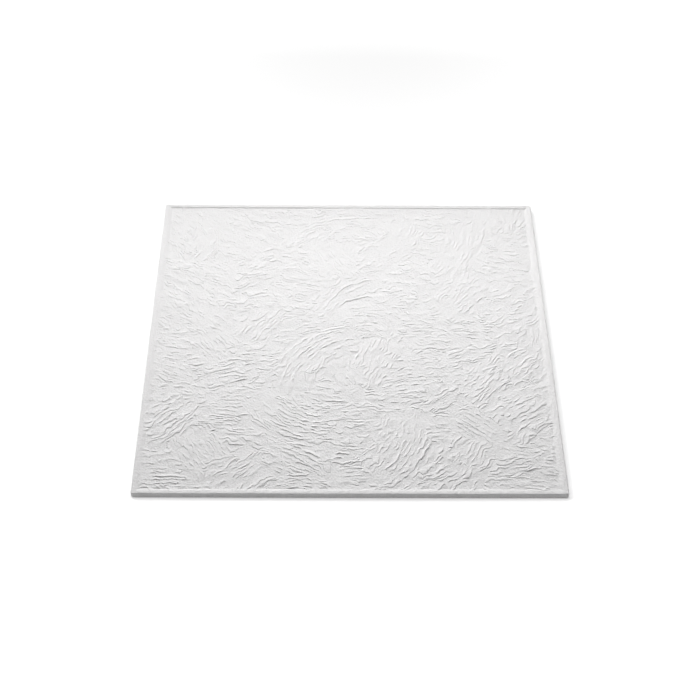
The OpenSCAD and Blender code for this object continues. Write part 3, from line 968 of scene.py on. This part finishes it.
def pale_floor():
    """White paint that takes shadows, and the glow on top of it for the camera."""
    material = new_material("studio_floor_pale")
    tree = material.node_tree
    paint = add_node(tree, "ShaderNodeBsdfDiffuse", {"Color": linear("F4F4F4")})
    where = add_node(tree, "ShaderNodeTexCoord").outputs["Object"]
    seen = add_node(tree, "ShaderNodeMath", {"operation": "MULTIPLY"},
                    {0: camera_looks(tree), 1: glow_level(tree, where)})
    glow = add_node(tree, "ShaderNodeEmission", {"Color": (1, 1, 1, 1)}, {"Strength": seen.outputs["Value"]})
    total = add_node(tree, "ShaderNodeAddShader", None,
                     {0: paint.outputs["BSDF"], 1: glow.outputs["Emission"]})
    add_node(tree, "ShaderNodeOutputMaterial", None, {"Surface": total.outputs["Shader"]})
    return material

bpy.ops.object.select_all(action="DESELECT")
bpy.ops.mesh.primitive_plane_add(size=FLOOR_SIDE, location=(0, 0, low.z))
floor = bpy.context.object
floor.name = "floor"
floor.data.materials.append(pale_floor())
print(f"{floor.name} {FLOOR_SIDE} m wide at z = {low.z:.3f} m, in {floor.data.materials[0].name}")

# %% Lamps
KEY_PLACE = Vector((0.03, 0.355, 0.6))
KEY_AIM = Vector((0, -1.1, 0))
KEY_WIDE, KEY_DEEP = 1.0, 0.4
KEY_POWER = 5.2
SIDE_PLACE = Vector((-3.0, 3.8, 3.0))
SIDE_WIDE = 2.0
SIDE_POWER = 155

bpy.ops.object.light_add(type="AREA", location=KEY_PLACE)
key = bpy.context.object
key.name = "softbox"
key.data.shape = "RECTANGLE"
key.data.size = KEY_WIDE
key.data.size_y = KEY_DEEP
key.data.energy = KEY_POWER
key.rotation_euler = (KEY_AIM - KEY_PLACE).to_track_quat("-Z", "Y").to_euler()
key.visible_camera = False

bpy.ops.object.light_add(type="AREA", location=SIDE_PLACE)
side_lamp = bpy.context.object
side_lamp.name = "side_lamp"
side_lamp.data.size = SIDE_WIDE
side_lamp.data.energy = SIDE_POWER
side_lamp.rotation_euler = (-SIDE_PLACE).to_track_quat("-Z", "Y").to_euler()
side_lamp.visible_camera = False
print(f"softbox {KEY_PLACE.z:.1f} m above the floor, side lamp {SIDE_PLACE.length:.1f} m away")

# %% Sky
# SKY_LOW is its light along the horizon, SKY_TOP from LOW_BAND up, where 1 is straight above. Camera,
# mirrors and glass see plain white.
SKY_TOP, SKY_LOW = 0.02, 1.0
LOW_BAND = 0.5

world = bpy.data.worlds.new("studio")
bpy.context.scene.world = world
world.use_nodes = True
sky_tree = world.node_tree
sky_tree.nodes.clear()
looking = add_node(sky_tree, "ShaderNodeTexCoord").outputs["Generated"]
up = add_node(sky_tree, "ShaderNodeSeparateXYZ", None, {0: looking})
band = add_node(sky_tree, "ShaderNodeMapRange",
                {"interpolation_type": "SMOOTHSTEP", "From Min": 0.0, "From Max": LOW_BAND,
                 "To Min": SKY_LOW, "To Max": SKY_TOP}, {"Value": up.outputs["Z"]})
level = add_node(sky_tree, "ShaderNodeMath", {"operation": "MAXIMUM"},
                 {0: camera_looks(sky_tree), 1: band.outputs["Result"]})
sky = add_node(sky_tree, "ShaderNodeBackground", {"Color": (1, 1, 1, 1)},
               {"Strength": level.outputs["Value"]})
add_node(sky_tree, "ShaderNodeOutputWorld", None, {"Surface": sky.outputs["Background"]})
bpy.context.scene.view_settings.view_transform = "Standard"
print(f"sky from {SKY_LOW} along the horizon to {SKY_TOP} above")
